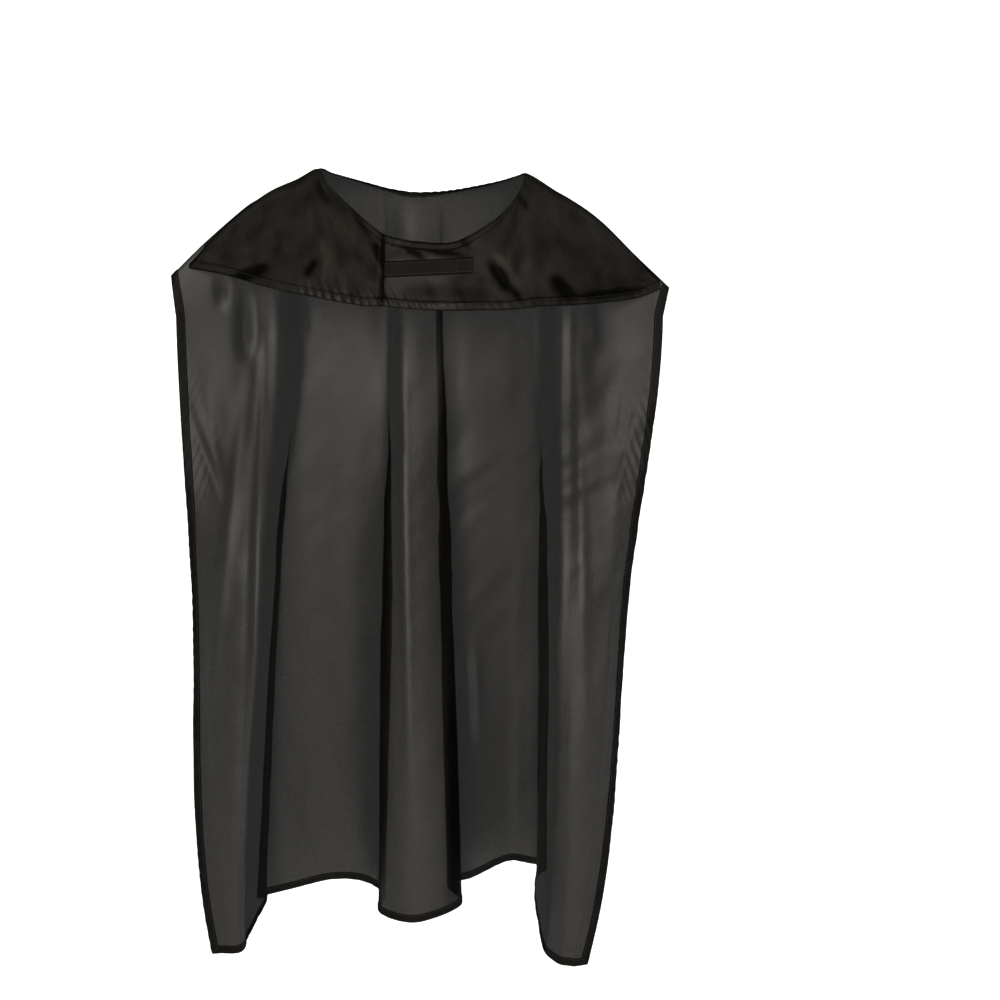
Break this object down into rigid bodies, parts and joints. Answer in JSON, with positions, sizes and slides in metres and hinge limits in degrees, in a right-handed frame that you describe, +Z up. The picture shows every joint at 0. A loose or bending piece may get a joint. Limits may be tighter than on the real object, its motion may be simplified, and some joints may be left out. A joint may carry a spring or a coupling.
{
  "type": "costume cape",
  "caption": "Knee-length costume cape of thin black lining cloth, with short front pieces closed at the neck by a hook-and-loop tape, hanging in folds as worn.",
  "frame": {"origin": "centre of the neck opening, 25 mm below the neck corners on the shoulders", "axes": "+Z up, -Y to the wearer's front, +X to the wearer's left"},
  "size_m": [0.4293, 0.2032, 0.6825],
  "materials": {
    "cloth": "thin semi-sheer black satin lining",
    "hem_cloth": "folded layers of the same black lining, stitched",
    "tape": "black hook-and-loop tape",
    "thread": "black sewing thread"
  },
  "bodies": {
    "back": {"back_panel": "cloth", "side_hem_left": "hem_cloth", "side_hem_right": "hem_cloth", "bottom_hem": "hem_cloth", "neck_hem_back": "hem_cloth", "shoulder_seam_left": "hem_cloth", "shoulder_seam_right": "hem_cloth"},
    "left_front": {"front_left": "cloth", "yoke_hem_left": "hem_cloth", "neck_hem_left": "hem_cloth", "front_edge_left": "hem_cloth", "hook_patch": "tape"},
    "right_front": {"front_right": "cloth", "yoke_hem_right": "hem_cloth", "neck_hem_right": "hem_cloth", "front_edge_right": "hem_cloth", "loop_strip": "tape"}
  },
  "joints": [
    {"name": "left_front_open", "type": "hinge", "parent": "back", "child": "left_front", "pos_m": [-0.148, 0, -0.004], "axis": [-0.8383, 0, -0.5452], "range_deg": [0, 70]},
    {"name": "right_front_open", "type": "hinge", "parent": "back", "child": "right_front", "pos_m": [0.154, 0, -0.012], "axis": [-0.8319, 0, 0.5549], "range_deg": [0, 70]}
  ],
  "couplings": [
    {"joint": "right_front_open", "follows": "left_front_open", "ratio": 0.6}
  ]
}
